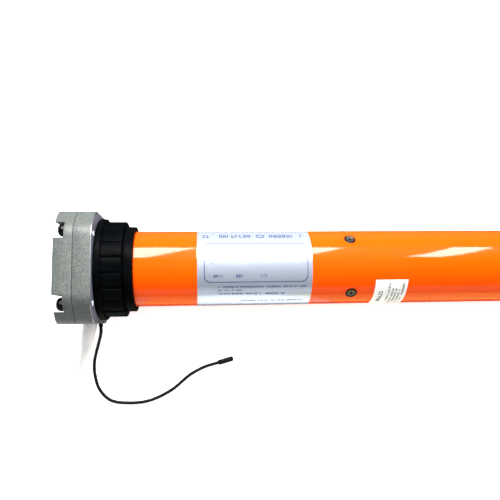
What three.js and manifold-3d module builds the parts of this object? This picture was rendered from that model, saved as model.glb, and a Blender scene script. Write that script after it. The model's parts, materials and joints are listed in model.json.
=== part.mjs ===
// A 45 mm tubular motor for a roller shutter, with a radio receiver and a hand-crank override.
// Millimetres, +Z up. +X runs along the motor from its head to its drive wheel. The origin is on the
// surface that the motor lies on, under the middle of its length and under its axis.
import * as THREE from "three";
import { mergeVertices } from "three/addons/utils/BufferGeometryUtils.js";
import Module from "manifold-3d";

const wasm = await Module();
wasm.setup();

// ---------------------------------------------------------------- driving dimensions
const LENGTH = 600; // head's outer face to the end of the output shaft
const TUBE_R = 22.5; // the 45 mm steel tube
const TUBE_WALL = 1.2;
const TUBE_SIDES = 48;
const HEAD_HALF = 32.2; // half the head across its flats
const HEAD_CHAMFER = 12; // how far each corner is cut back
const HEAD_FILLET = 5;
const CROWN_R = 28.4; // the ribbed collar that fits a 60 mm roller tube
const RIB_COUNT = 20; // round the collar and the drive wheel
const FLANGE_R = 30.2;
const GAP = 0.3; // between pieces that touch
const RUNNING = 0.3; // between a piece that turns and what it turns in

// Stations along the axis, from the head's outer face.
const COVER = [0, 10.4];
const BASE = [10.7, 20.6];
const FLANGE = [21, 24.6];
const RIBS = [24.6, 36.1];
const CROWN_RING = [21, 41.7];
const NECK_END = 52;
const TUBE = [42, 548];
const RATING_LABEL = [77.9, 144.5];
const SERVICE_LABEL = [182.4, 201.9];
const TUBE_SCREWS_AT = 168.6;
const MID_BEARING = [161, 175];
const DRIVE_WHEEL = [555, 593];

// The head's inside: a worm under a 24-tooth wheel.
const WORM_AT = 10.55; // the worm's axis lies in the joint between the two castings
const WORM_DROP = 16; // below the motor's axis
const WORM_PITCH = Math.PI; // module 1
const WHEEL_TEETH = 24;
const CAVITY_R = 14;
const NECK_R = 19.6;
const NECK_BORE_R = 15;
const SCREW_Y = [19.7, -21.3]; // the head's screws sit in the corners, clear of the worm
const SCREW_Z = 26;
const NOTCHES = [
  [14.9, 24],
  [-25.4, -16.3],
]; // the screw channels across the outer face
const NOTCH_DEPTH = 5.6;
const BRACKET_HOLES_AT = 24; // tapped holes for a wall bracket, above and below the axis

// The planetary gearbox: three equal stages in one ring gear.
const MODULE = 0.8;
const SUN_TEETH = 12;
const PLANET_TEETH = 15;
const RING_TEETH = SUN_TEETH + 2 * PLANET_TEETH;
const PLANET_ORBIT = (MODULE * (SUN_TEETH + PLANET_TEETH)) / 2;
const PLANETS = 3;
const STAGES = [
  { planets: [370, 382], plate: [384, 389] },
  { planets: [393, 409], plate: [411, 417] },
  { planets: [421, 443], plate: [445, 453] },
];
const CARTRIDGE_R = 20.8; // the motor and gearbox turn inside the tube, which leaves them 0.5 mm

// The crown ring's teeth and the small wheel that counts its turns.
const CROWN_TEETH = 42;
const COUNTER_TEETH = 8;
const COUNTER_ORBIT = (CROWN_TEETH - COUNTER_TEETH) / 2; // module 1

// Cords, which leave the head's near side and lie on the surface below.
const CORD_HEIGHT = 19; // where they leave the head, above the surface
const CABLE_R = 3.3;
const ANTENNA_R = 1;
const CABLE_EXIT = 12;
const ANTENNA_EXIT = 18.4;
const GLAND_LEAN = THREE.MathUtils.degToRad(8); // the gland leans away from the tube
const GLAND_OUT = 14;
const COIL_AT = [-116, -64]; // the coil's centre: station and Y
const COIL_TURNS_R = 6 * 2 * CABLE_R; // the middle of the turns: 12 cable diameters across
const COIL_HALF = 1.5 * 2 * CABLE_R; // three turns side by side and three high

// ---------------------------------------------------------------- materials
const paint = (color, roughness, metalness = 0) =>
  new THREE.MeshStandardMaterial({ color, roughness, metalness });
const castAluminium = paint(0x9fa5a1, 0.5, 0.8);
const orangePaint = paint(0xff7a00, 0.25);
const blackPlastic = paint(0x0c0d0e, 0.35);
const blackDieCast = paint(0x101112, 0.4, 0.5);
const silverFoil = paint(0xd9e2ee, 0.3, 0.4);
const whitePaper = paint(0xf4f4f2, 0.6);
const blackSteel = paint(0x1a1a1c, 0.4, 0.7);
const brightSteel = paint(0xb9bcc0, 0.3, 0.9);
const bronze = paint(0xa9773b, 0.4, 0.9);
const nylon = paint(0xe6e2d6, 0.5);
const copper = paint(0xb5622f, 0.35, 0.8);
const laminatedSteel = paint(0x6d7075, 0.45, 0.8);
const boardGreen = paint(0x1f6b3a, 0.5);
const blackRubber = paint(0x111112, 0.7);
const whiteRubber = paint(0xeeeeea, 0.6);

// ---------------------------------------------------------------- solids
function solidOf(geometry) {
  const bare = geometry.index ? geometry.toNonIndexed() : geometry.clone();
  bare.deleteAttribute("normal");
  bare.deleteAttribute("uv");
  const merged = mergeVertices(bare, 1e-4);
  return new wasm.Manifold(
    new wasm.Mesh({
      numProp: 3,
      vertProperties: merged.attributes.position.array,
      triVerts: new Uint32Array(merged.index.array),
    }),
  );
}

function geometryOf(solid) {
  const mesh = solid.getMesh();
  return new THREE.BufferGeometry()
    .setAttribute("position", new THREE.BufferAttribute(mesh.vertProperties, 3))
    .setIndex(new THREE.BufferAttribute(mesh.triVerts, 1));
}

const join = (first, ...rest) =>
  geometryOf(rest.reduce((whole, g) => whole.add(solidOf(g)), solidOf(first)));

const cut = (first, ...tools) =>
  geometryOf(tools.reduce((left, g) => left.subtract(solidOf(g)), solidOf(first)));

// Shapes are drawn across the motor, x to the side and y up, and extruded along its axis, z.
const disc = (radius, [from, to], sides = 32) =>
  new THREE.CylinderGeometry(radius, radius, to - from, sides)
    .rotateX(Math.PI / 2)
    .translate(0, 0, (from + to) / 2);

const prism = (shape, [from, to], curveSegments = 4) =>
  new THREE.ExtrudeGeometry(shape, {
    depth: to - from,
    bevelEnabled: false,
    curveSegments,
  }).translate(0, 0, from);

// A turned piece: its profile's points are [radius, station], and it closes on itself or on the axis.
function turned(profile, sides = 32) {
  const points = profile.map(([radius, station]) => new THREE.Vector2(radius, station));
  const onAxis = profile[0][0] === 0 && profile.at(-1)[0] === 0;
  return new THREE.LatheGeometry(onAxis ? points : [...points, points[0]], sides).rotateX(
    Math.PI / 2,
  );
}

const ring = (outer, inner, [from, to], sides = 32) =>
  turned([[inner, from], [outer, from], [outer, to], [inner, to]], sides);

const box = ([x0, x1], [y0, y1], [z0, z1]) =>
  new THREE.BoxGeometry(x1 - x0, y1 - y0, z1 - z0).translate(
    (x0 + x1) / 2,
    (y0 + y1) / 2,
    (z0 + z1) / 2,
  );

// A round bar from one point to another.
function bar(from, to, radius, sides = 16, endRadius = radius) {
  const start = new THREE.Vector3(...from);
  const along = new THREE.Vector3(...to).sub(start);
  const turn = new THREE.Quaternion().setFromUnitVectors(
    new THREE.Vector3(0, 1, 0),
    along.clone().normalize(),
  );
  return new THREE.CylinderGeometry(endRadius, radius, along.length(), sides)
    .applyQuaternion(turn)
    .translate(...start.addScaledVector(along, 0.5));
}

const polar = (radius, angle) =>
  new THREE.Vector2(radius * Math.cos(angle), radius * Math.sin(angle));

const circle = (radius, sides) =>
  Array.from({ length: sides }, (_, i) => polar(radius, (2 * Math.PI * i) / sides));

// A polygon whose corners are rounded off.
function rounded(corners, fillet) {
  const shape = new THREE.Shape();
  corners.forEach((corner, i) => {
    const before = corners.at(i - 1).clone().sub(corner).setLength(fillet).add(corner);
    const after = corners[(i + 1) % corners.length].clone().sub(corner).setLength(fillet).add(corner);
    if (i === 0) shape.moveTo(before.x, before.y);
    else shape.lineTo(before.x, before.y);
    shape.quadraticCurveTo(corner.x, corner.y, after.x, after.y);
  });
  return shape;
}

// Gear teeth with straight flanks at 20 degrees. side is 1 for teeth that point out, -1 for in.
function toothed(teeth, module, side, { backlash = 0.3, tip = 0.8, root = 1.2 } = {}) {
  const pitchR = (teeth * module) / 2;
  const lean = Math.tan(THREE.MathUtils.degToRad(20));
  const halfPitch = (Math.PI * module - 2 * backlash * module) / 4;
  const at = (radius, half) => ({ radius, half: half / radius });
  const low = at(pitchR - side * root * module, halfPitch + root * module * lean);
  const high = at(pitchR + side * tip * module, halfPitch - tip * module * lean);
  const points = [];
  for (let i = 0; i < teeth; i++) {
    const middle = (2 * Math.PI * i) / teeth;
    points.push(
      polar(low.radius, middle - low.half),
      polar(high.radius, middle - high.half),
      polar(high.radius, middle + high.half),
      polar(low.radius, middle + low.half),
    );
  }
  return points;
}

// Turns a solid's sections steadily as they go along z, by rate radians per millimetre.
function twist(geometry, rate) {
  const position = geometry.getAttribute("position");
  const point = new THREE.Vector3();
  const axis = new THREE.Vector3(0, 0, 1);
  for (let i = 0; i < position.count; i++) {
    point.fromBufferAttribute(position, i).applyAxisAngle(axis, rate * position.getZ(i));
    position.setXYZ(i, point.x, point.y, point.z);
  }
  return geometry;
}

// ---------------------------------------------------------------- the scene graph
export const object = new THREE.Group();
const motor = new THREE.Group();
motor.quaternion.setFromRotationMatrix(
  new THREE.Matrix4().makeBasis(
    new THREE.Vector3(0, 1, 0),
    new THREE.Vector3(0, 0, 1),
    new THREE.Vector3(1, 0, 0),
  ),
);
motor.position.set(-LENGTH / 2, 0, HEAD_HALF);
object.add(motor);

function add(name, geometry, material, parent = motor) {
  const mesh = new THREE.Mesh(geometry, material);
  mesh.name = name;
  parent.add(mesh);
  return mesh;
}

const corners = [[1, 1], [-1, 1], [-1, -1], [1, -1]];

// ---------------------------------------------------------------- the head
const FLAT = HEAD_HALF - HEAD_CHAMFER;
const headOutline = rounded(
  corners.flatMap(([x, y]) => {
    const pair = [
      new THREE.Vector2(x * HEAD_HALF, y * FLAT),
      new THREE.Vector2(x * FLAT, y * HEAD_HALF),
    ];
    return x * y > 0 ? pair : pair.reverse();
  }),
  HEAD_FILLET,
);
const WORM_CHANNEL_R = 5.4;
const CHANNEL_END = -18.5;
const wormChannel = bar(
  [CHANNEL_END, -WORM_DROP, WORM_AT],
  [HEAD_HALF + 2, -WORM_DROP, WORM_AT],
  WORM_CHANNEL_R,
  24,
);
const GLAND_R = 4.2;
const glandRoot = [-HEAD_HALF, CORD_HEIGHT - HEAD_HALF, CABLE_EXIT];
const glandWay = [-Math.cos(GLAND_LEAN), 0, -Math.sin(GLAND_LEAN)];
const along = (root, way, distance) => root.map((value, i) => value + way[i] * distance);
const GLAND_IN = 7;
const inward = [1, 0, 0];
const glandHole = bar(
  along(glandRoot, inward, -3),
  along(glandRoot, inward, GLAND_IN + GAP),
  GLAND_R + GAP,
  20,
);
const cableWay = bar([-27, -14, CABLE_EXIT], [-8, -4, CABLE_EXIT], CABLE_R);
const ANTENNA_SLEEVE_R = 1.3;
const antennaHole = bar(
  [-HEAD_HALF - 1, CORD_HEIGHT - HEAD_HALF, ANTENNA_EXIT],
  [-HEAD_HALF + 8, CORD_HEIGHT - HEAD_HALF, ANTENNA_EXIT],
  ANTENNA_SLEEVE_R + GAP,
  12,
);
const SCREW_SHANK_R = 2;
const SCREW_END = BASE[1] - 0.4;
const screwPlaces = SCREW_Y.flatMap((y) => [[y, SCREW_Z], [y, -SCREW_Z]]);
const screwHoles = screwPlaces.map(([x, y]) =>
  disc(SCREW_SHANK_R + 0.2, [COVER[0] - 1, BASE[1] + 1], 14).translate(x, y, 0),
);

function headCover() {
  const notches = NOTCHES.map((across) =>
    box(across, [-HEAD_HALF - 1, HEAD_HALF + 1], [COVER[0] - 1, NOTCH_DEPTH]),
  );
  const bracketHoles = [1, -1].map((side) =>
    disc(2.5, [COVER[0] - 1, 4.8], 16).translate(0, side * BRACKET_HOLES_AT, 0),
  );
  return cut(
    prism(headOutline, COVER),
    ...notches,
    ...bracketHoles,
    ...screwHoles,
    disc(CAVITY_R, [3, COVER[1] + 1]),
    wormChannel,
    glandHole,
    cableWay,
  );
}

function headBase() {
  const whole = join(prism(headOutline, BASE), disc(NECK_R, [BASE[1] - 1, NECK_END], 40));
  return cut(
    whole,
    disc(CAVITY_R, [BASE[0] - 1, BASE[1] - 3]),
    disc(NECK_BORE_R - 3, [BASE[1] - 4, BASE[1] + 1], 24),
    disc(NECK_BORE_R, [BASE[1], NECK_END + 1]),
    disc(COUNTER_TEETH / 2 + 1.6, [36.4, NECK_END + 1], 20).translate(0, COUNTER_ORBIT, 0),
    ...screwHoles,
    wormChannel,
    glandHole,
    cableWay,
    antennaHole,
  );
}

function headScrew() {
  const headTop = NOTCH_DEPTH - 4;
  const body = turned(
    [[0, headTop], [2.2, headTop + 0.1], [3.4, headTop + 1], [3.8, headTop + 2.2], [3.8, NOTCH_DEPTH - 0.05],
      [SCREW_SHANK_R, NOTCH_DEPTH - 0.05], [SCREW_SHANK_R, SCREW_END], [0, SCREW_END]],
    14,
  );
  const socket = new THREE.CylinderGeometry(1.45, 1.45, 3.4, 6).rotateX(Math.PI / 2);
  return cut(body, socket.translate(0, 0, headTop + 0.5));
}

add("head_cover_casting", headCover(), castAluminium);
add("head_base_casting", headBase(), castAluminium);
screwPlaces.forEach(([x, y], i) => {
  add(`head_screw_${i + 1}`, headScrew(), blackSteel).position.set(x, y, 0);
});

function cableGland() {
  return join(
    bar(along(glandRoot, inward, GLAND_IN), glandRoot, GLAND_R, 16),
    new THREE.SphereGeometry(GLAND_R, 16, 10).translate(...glandRoot),
    bar(glandRoot, along(glandRoot, glandWay, GLAND_OUT), GLAND_R, 16, CABLE_R + 0.5),
  );
}
add("cable_gland", cableGland(), whiteRubber);

const ANTENNA_SLEEVE_OUT = 2;
const antennaLevel = CORD_HEIGHT - HEAD_HALF;
add(
  "antenna_grommet",
  bar(
    [-HEAD_HALF - ANTENNA_SLEEVE_OUT, antennaLevel, ANTENNA_EXIT],
    [-HEAD_HALF + 7, antennaLevel, ANTENNA_EXIT],
    ANTENNA_SLEEVE_R,
    12,
  ),
  blackRubber,
);

// ---------------------------------------------------------------- the hand-crank override
// The worm is drawn along z and laid across the head, with its socket at the far side.
const WORM_THREAD = [-8, 8];
const SOCKET = [10, 30];
const SOCKET_R = 5.1;
const HEX_R = 3.5 / Math.cos(Math.PI / 6); // a 7 mm hexagonal crank
const THREAD_MIDDLE_R = 3.8;
const THREAD_OFFSET = 1.2; // a round section set off the axis winds into a single-start thread
const JOURNAL_END = -17.5;

function crankWorm() {
  const section = new THREE.Shape(
    circle(THREAD_MIDDLE_R, 14).map((point) => point.add(new THREE.Vector2(THREAD_OFFSET, 0))),
  );
  const length = WORM_THREAD[1] - WORM_THREAD[0];
  const thread = twist(
    new THREE.ExtrudeGeometry(section, { depth: length, steps: 40, bevelEnabled: false }).translate(
      0,
      0,
      WORM_THREAD[0],
    ),
    (2 * Math.PI) / WORM_PITCH,
  );
  const whole = join(thread, disc(2.5, [JOURNAL_END, SOCKET[0] + 1], 12), disc(SOCKET_R, SOCKET, 20));
  return cut(whole, new THREE.CylinderGeometry(HEX_R, HEX_R, 30, 6).rotateX(Math.PI / 2).translate(0, 0, SOCKET[1]));
}

const worm = new THREE.Group();
worm.position.set(0, -WORM_DROP, WORM_AT);
worm.rotation.y = Math.PI / 2;
motor.add(worm);
const WORM_PHASE = -Math.PI / 2; // sets a gap of the thread on the wheel's lowest tooth
add("crank_worm", crankWorm(), brightSteel, worm).rotation.z = WORM_PHASE;
add("crank_bush", ring(5.1, 2.75, [JOURNAL_END, -12], 16), bronze, worm);

function wormWheel() {
  const pitchR = WHEEL_TEETH / 2;
  const width = [8.05, 13.05];
  const half = { root: 0.85, tip: 0.3 };
  const points = [];
  for (let i = 0; i < WHEEL_TEETH; i++) {
    const middle = (2 * Math.PI * i) / WHEEL_TEETH - Math.PI / 2;
    const [root, tip] = [pitchR - 1.3, pitchR + 0.6];
    points.push(
      polar(root, middle - half.root / root),
      polar(tip, middle - half.tip / tip),
      polar(tip, middle + half.tip / tip),
      polar(root, middle + half.root / root),
    );
  }
  const helixRate = WORM_PITCH / (2 * Math.PI * (WORM_DROP - pitchR)) / pitchR;
  const rim = twist(prism(new THREE.Shape(points), width.map((s) => s - WORM_AT)), helixRate);
  const whole = join(rim.translate(0, 0, WORM_AT), disc(6, [5, 17], 20));
  return cut(whole, disc(3.2, [0, 20], 12));
}
add("worm_wheel", wormWheel(), bronze);

const CAP_HUB = [164, 180];
add("override_rod", disc(2.9, [4, CAP_HUB[0] - GAP], 12), brightSteel);

// ---------------------------------------------------------------- the tube and what it carries
const tubeOutline = new THREE.Shape(circle(TUBE_R, TUBE_SIDES));
tubeOutline.holes.push(new THREE.Path(circle(TUBE_R - TUBE_WALL, TUBE_SIDES)));
const SCREW_ROLL = THREE.MathUtils.degToRad(48);
const tubeScrewAngles = [0, 1, 2, 3].map((i) => SCREW_ROLL + (i * Math.PI) / 2);
const radially = (angle, from, to, radius, sides) =>
  bar(
    [...polar(from, angle), TUBE_SCREWS_AT],
    [...polar(to, angle), TUBE_SCREWS_AT],
    radius,
    sides,
  );
const TUBE_SCREW_HEAD_R = 3.4;
const tubeScrewHoles = tubeScrewAngles.map((angle) =>
  radially(angle, TUBE_R - 3, TUBE_R + 2, TUBE_SCREW_HEAD_R + 0.2, 16),
);
add("motor_tube", cut(prism(tubeOutline, TUBE), ...tubeScrewHoles), orangePaint);

// A label is a thin shell over part of the tube, from one angle round to another.
function label([from, to], stations) {
  const step = 360 / TUBE_SIDES;
  const angles = [from];
  for (let a = (Math.floor(from / step) + 1) * step; a < to; a += step) angles.push(a);
  angles.push(to);
  const side = (radius) => angles.map((a) => polar(radius, THREE.MathUtils.degToRad(a)));
  const points = [...side(TUBE_R + 0.3), ...side(TUBE_R + 0.08).reverse()];
  return prism(new THREE.Shape(points), stations);
}
add("rating_label", label([16, 196], RATING_LABEL), silverFoil);
add("service_label", label([115, 208], SERVICE_LABEL), whitePaper);

function tubeScrew() {
  const top = TUBE_R + 0.5;
  const under = TUBE_R - TUBE_WALL - 0.1;
  const body = turned(
    [[0, 14], [1.6, 14], [1.6, under], [TUBE_SCREW_HEAD_R, under], [TUBE_SCREW_HEAD_R, TUBE_R],
      [2.2, top - 0.1], [0, top]],
    16,
  );
  const slots = [[1.9, 0.4], [0.4, 1.9]].map(([x, y]) => box([-x, x], [-y, y], [TUBE_R - 0.9, top + 1]));
  return cut(body, ...slots);
}
tubeScrewAngles.forEach((angle, i) => {
  const place = new THREE.Group();
  place.position.z = TUBE_SCREWS_AT;
  place.rotation.z = angle;
  motor.add(place);
  add(`tube_screw_${i + 1}`, tubeScrew(), blackSteel, place).rotation.y = Math.PI / 2;
});

// ---------------------------------------------------------------- the crown, which turns with the roller tube
// Equal ribs with narrow grooves between them.
function ribbedOutline(top, groove) {
  const sector = [[-7.6, top], [0, top], [7.6, top], [8.2, groove], [9.8, groove]];
  const points = [];
  for (let i = 0; i < RIB_COUNT; i++)
    for (const [degrees, radius] of sector)
      points.push(polar(radius, THREE.MathUtils.degToRad((360 / RIB_COUNT) * i + degrees)));
  return new THREE.Shape(points);
}
const SLEEVE_R = 24; // the crown ring's sleeve, under the collar

function crownAdapter() {
  const whole = join(
    disc(FLANGE_R, FLANGE, 48),
    prism(ribbedOutline(CROWN_R, CROWN_R - 0.9), [FLANGE[1] - 0.5, RIBS[1]]),
  );
  return cut(whole, disc(SLEEVE_R + GAP, [FLANGE[0] - 1, RIBS[1] + 1], 40));
}
add("crown_adapter", crownAdapter(), blackPlastic);

const RING_LIP_R = 25.4;
function crownRing() {
  const lip = [RIBS[1] + GAP, CROWN_RING[1]];
  const whole = turned(
    [[NECK_R + RUNNING, CROWN_RING[0]], [SLEEVE_R, CROWN_RING[0]], [SLEEVE_R, lip[0]], [RING_LIP_R, lip[0]],
      [RING_LIP_R, lip[1]], [NECK_R + RUNNING, lip[1]]],
    40,
  );
  const teeth = new THREE.Shape(toothed(CROWN_TEETH, 1, -1));
  return cut(whole, prism(teeth, [lip[0] + 0.5, lip[1] + 1]));
}
add("crown_ring", crownRing(), blackPlastic);

function counterWheel() {
  return join(
    prism(new THREE.Shape(toothed(COUNTER_TEETH, 1, 1)), [37.3, 41.3]),
    disc(1.4, [37.3, 60], 12),
    disc(2.4, [60, 63], 16),
  );
}
const counter = add("counter_wheel", counterWheel(), nylon);
counter.position.set(0, COUNTER_ORBIT, 0);
// The crown's teeth leave a gap at the top, and one of this wheel's teeth fills it.
counter.rotation.z = Math.PI / 2;

// ---------------------------------------------------------------- electronics
const CARRIER = [42.6, 157];
function boardCarrier() {
  const inside = TUBE_R - TUBE_WALL - GAP;
  const sleeve = ring(inside, NECK_R + 0.2, [CARRIER[0], 54], 40);
  const web = ring(inside, 4.5, [53.8, 57], 40);
  const rear = ring(inside, 4.5, [CARRIER[1] - 3, CARRIER[1]], 40);
  const floor = cut(
    box([-16, 16], [-9.5, -6.5], [56, CARRIER[1] - 2]),
    disc(1, [0, 1], 8),
  );
  const shaftHole = disc(1.6, [50, 60], 12).translate(0, COUNTER_ORBIT, 0);
  return cut(join(sleeve, web, rear, floor), shaftHole);
}
add("board_carrier", boardCarrier(), nylon);
add(
  "receiver_board",
  join(
    box([-15, 15], [5.5, 7.1], [66, 150]),
    box([-10, -2], [7, 12], [72, 88]),
    box([2, 11], [7, 15], [76, 96]),
    box([-9, 7], [7, 10], [104, 122]),
    disc(4, [128, 146], 12).translate(-8, 10, 0),
  ),
  boardGreen,
);
add("run_capacitor", disc(5, [70, 140], 20).translate(0, -14.7, 0), nylon);

// ---------------------------------------------------------------- bearings fixed in the tube
const INSIDE_R = TUBE_R - TUBE_WALL - GAP;
const HUB_R = 8;
add(
  "mid_bearing",
  cut(
    ring(INSIDE_R, HUB_R + RUNNING, MID_BEARING, 40),
    ...tubeScrewAngles.map((angle) => radially(angle, 13.5, TUBE_R + 2, 1.8, 12)),
  ),
  nylon,
);
const SHAFT_R = 7;
const END_PLUG = [480, 552];
add(
  "end_bearing",
  turned(
    [[SHAFT_R + RUNNING, END_PLUG[0]], [INSIDE_R, END_PLUG[0]], [INSIDE_R, TUBE[1] + GAP], [TUBE_R, TUBE[1] + GAP],
      [TUBE_R, END_PLUG[1]], [SHAFT_R + RUNNING, END_PLUG[1]]],
    TUBE_SIDES,
  ),
  blackPlastic,
);

// ---------------------------------------------------------------- the cartridge: brake, motor and ring gear
const ROTOR_SHAFT_R = 3.6;
const CAP = [CAP_HUB[1], 186];
add(
  "cartridge_cap",
  turned([[0, CAP_HUB[0]], [HUB_R, CAP_HUB[0]], [HUB_R, CAP[0]], [CARTRIDGE_R, CAP[0]], [CARTRIDGE_R, CAP[1]], [0, CAP[1]]]),
  brightSteel,
);
const BRAKE_COIL = [186.3, 212];
add("brake_coil", ring(CARTRIDGE_R, 9.2, BRAKE_COIL), copper);
const BRAKE_PLATE = [213.2, 216.8];
add("brake_plate", ring(18, 5.2, BRAKE_PLATE), blackSteel);
add("brake_disc", ring(17, ROTOR_SHAFT_R + 0.1, [217.2, 221], 32), blackRubber);

function brakeSpring() {
  const turns = 5;
  const [from, to] = [189, 211.4];
  const points = Array.from({ length: turns * 10 + 1 }, (_, i) => {
    const angle = (2 * Math.PI * i) / 10;
    return new THREE.Vector3(7 * Math.cos(angle), 7 * Math.sin(angle), from + ((to - from) * i) / (turns * 10));
  });
  const wire = new THREE.Shape(circle(0.8, 6));
  return new THREE.ExtrudeGeometry(wire, {
    extrudePath: new THREE.CatmullRomCurve3(points),
    steps: turns * 12,
    bevelEnabled: false,
  });
}
add("brake_spring", brakeSpring(), brightSteel);

const STATOR = [252.3, 332];
const WINDING_DEPTH = 15;
add("front_bearing", ring(CARTRIDGE_R, ROTOR_SHAFT_R + RUNNING, [226, 234]), brightSteel);
add("rear_bearing", ring(CARTRIDGE_R, ROTOR_SHAFT_R + RUNNING, [350, 358]), brightSteel);
add("stator_core", ring(CARTRIDGE_R, 12.3, STATOR), laminatedSteel);
const winding = (at) =>
  turned(
    [[13, at], [18, at], [19.6, at + 4], [19.6, at + WINDING_DEPTH - 4], [18, at + WINDING_DEPTH], [13, at + WINDING_DEPTH]],
    28,
  );
add("front_winding", winding(STATOR[0] - GAP - WINDING_DEPTH), copper);
add("rear_winding", winding(STATOR[1] + GAP), copper);
add("rotor_core", ring(12, ROTOR_SHAFT_R + 0.1, [STATOR[0], STATOR[1]], 28), laminatedSteel);

const ringGearOutline = new THREE.Shape(circle(CARTRIDGE_R, 42));
ringGearOutline.holes.push(new THREE.Path(toothed(RING_TEETH, MODULE, -1)));
add("ring_gear", prism(ringGearOutline, [362, 460]), laminatedSteel);

// ---------------------------------------------------------------- the rotor and the gear train
// A sun gear stands half a tooth round, so that a planet between it and the ring meshes with both.
const sun = (stations) =>
  prism(new THREE.Shape(toothed(SUN_TEETH, MODULE, 1)), stations).rotateZ(Math.PI / SUN_TEETH);

add(
  "rotor_shaft",
  join(disc(ROTOR_SHAFT_R, [216, STAGES[0].planets[1]], 16), sun(STAGES[0].planets)),
  brightSteel,
);

const PIN_R = 2.4;
const planetAngle = (i) => (2 * Math.PI * i) / PLANETS;

// A carrier's plate holds three pins on one side. after is what it drives on the other side.
function carrier(stage, after) {
  const pins = Array.from({ length: PLANETS }, (_, i) =>
    disc(PIN_R, [stage.planets[0], stage.plate[0] + 1], 12).translate(
      ...polar(PLANET_ORBIT, planetAngle(i)),
      0,
    ),
  );
  return join(disc(15, stage.plate, 24), ...pins, after);
}

STAGES.forEach((stage, s) => {
  for (let i = 0; i < PLANETS; i++) {
    const around = planetAngle(i);
    const outline = new THREE.Shape(toothed(PLANET_TEETH, MODULE, 1));
    outline.holes.push(new THREE.Path(circle(PIN_R + 0.15, 12)));
    const planet = add(`planet_${s + 1}_${i + 1}`, prism(outline, stage.planets), nylon);
    planet.position.set(...polar(PLANET_ORBIT, around), 0);
    // A gap of the planet stands at the ring's tooth nearest to it.
    planet.rotation.z = around - (2 * Math.PI * ((RING_TEETH * i) / PLANETS + 0.5)) / PLANET_TEETH;
  }
});
add("carrier_1", carrier(STAGES[0], sun([STAGES[0].plate[1] - 1, STAGES[1].planets[1]])), brightSteel);
add("carrier_2", carrier(STAGES[1], sun([STAGES[1].plate[1] - 1, STAGES[2].planets[1]])), brightSteel);

// The output shaft is round in its bearing and has two flats where it drives the wheel.
const FLAT_HALF = 5.5;
function outputShaft() {
  const shaft = disc(SHAFT_R, [STAGES[2].plate[1] - 1, LENGTH], 24);
  const flats = [1, -1].map((side) =>
    box([-10, 10], side > 0 ? [FLAT_HALF, 12] : [-12, -FLAT_HALF], [DRIVE_WHEEL[0] - 1, LENGTH + 1]),
  );
  return carrier(STAGES[2], cut(shaft, ...flats));
}
add("output_shaft", outputShaft(), brightSteel);

function driveWheel() {
  const rim = prism(ribbedOutline(CROWN_R, CROWN_R - 0.9), DRIVE_WHEEL);
  const hub = 11;
  const hollow = (stations) => ring(CROWN_R - 4, hub, stations, 32);
  const spokes = [0, 1, 2, 3].map((i) =>
    box([hub - 1, CROWN_R - 3], [-1.6, 1.6], [DRIVE_WHEEL[0] + 3, DRIVE_WHEEL[1] - 4]).rotateZ((i * Math.PI) / 2),
  );
  const open = cut(rim, hollow([DRIVE_WHEEL[0] - 1, DRIVE_WHEEL[0] + 10]), hollow([DRIVE_WHEEL[0] + 14, DRIVE_WHEEL[1] + 1]));
  const bore = cut(
    disc(SHAFT_R + 0.25, [DRIVE_WHEEL[0] - 1, DRIVE_WHEEL[1] + 1], 24),
    box([-10, 10], [FLAT_HALF + 0.25, 12], [DRIVE_WHEEL[0] - 2, DRIVE_WHEEL[1] + 2]),
    box([-10, 10], [-12, -FLAT_HALF - 0.25], [DRIVE_WHEEL[0] - 2, DRIVE_WHEEL[1] + 2]),
  );
  return cut(join(open, ...spokes), bore);
}
add("drive_wheel", driveWheel(), blackDieCast);

function driveClip() {
  const stations = [DRIVE_WHEEL[1] + GAP, DRIVE_WHEEL[1] + 1.8];
  const bore = cut(
    disc(SHAFT_R + 0.25, [stations[0] - 1, stations[1] + 1], 24),
    box([-10, 10], [FLAT_HALF + 0.25, 12], [stations[0] - 2, stations[1] + 2]),
    box([-10, 10], [-12, -FLAT_HALF - 0.25], [stations[0] - 2, stations[1] + 2]),
  );
  return cut(disc(10, stations, 24), bore, box([-2, 2], [0, 12], [stations[0] - 1, stations[1] + 1]));
}
add("drive_clip", driveClip(), brightSteel);

// ---------------------------------------------------------------- cords
// Points are [station, Y, Z], with Z above the surface.
const placed = ([station, y, z]) => new THREE.Vector3(station - LENGTH / 2, y, z);
const sideExit = -HEAD_HALF - ANTENNA_SLEEVE_OUT - GAP;
const antennaRoute = [
  [ANTENNA_EXIT, sideExit, CORD_HEIGHT],
  [18.4, -37, 18],
  [17.5, -40, 15],
  [15, -46, 8.5],
  [12, -55, 2.6],
  [11.5, -60, 1.4],
  [12, -65, 1.1],
  [15, -74, 1.1],
  [22, -81, 1.1],
  [33, -83, 1.1],
  [46, -82, 1.1],
  [60, -76, 1.1],
  [73, -66, 1.1],
  [82, -61.5, 1.1],
  [91, -59, 1.3],
];
const gland = along(glandRoot, glandWay, GLAND_OUT + GAP);
const cableRoute = [
  [gland[2], gland[0], CORD_HEIGHT],
  [gland[2] - 0.4, gland[0] - 3, CORD_HEIGHT],
  [7, -56, 16],
  [4, -62, 11],
  [-1, -71, 6.5],
  [-8, -82, 3.9],
  [-17, -91, 3.45],
  [-30, -99, 3.4],
  [-48, -105, 3.4],
  [-66, -109, 3.4],
  [-84, -110, 3.4],
];

function cord(route, radius, sides, steps) {
  return new THREE.ExtrudeGeometry(new THREE.Shape(circle(radius, sides)), {
    extrudePath: new THREE.CatmullRomCurve3(route.map(placed), false, "centripetal"),
    steps,
    bevelEnabled: false,
  });
}
add("antenna_wire", cord(antennaRoute, ANTENNA_R, 8, 40), blackRubber, object);
add("power_cable_lead", cord(cableRoute, CABLE_R, 10, 16), whiteRubber, object);

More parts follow.
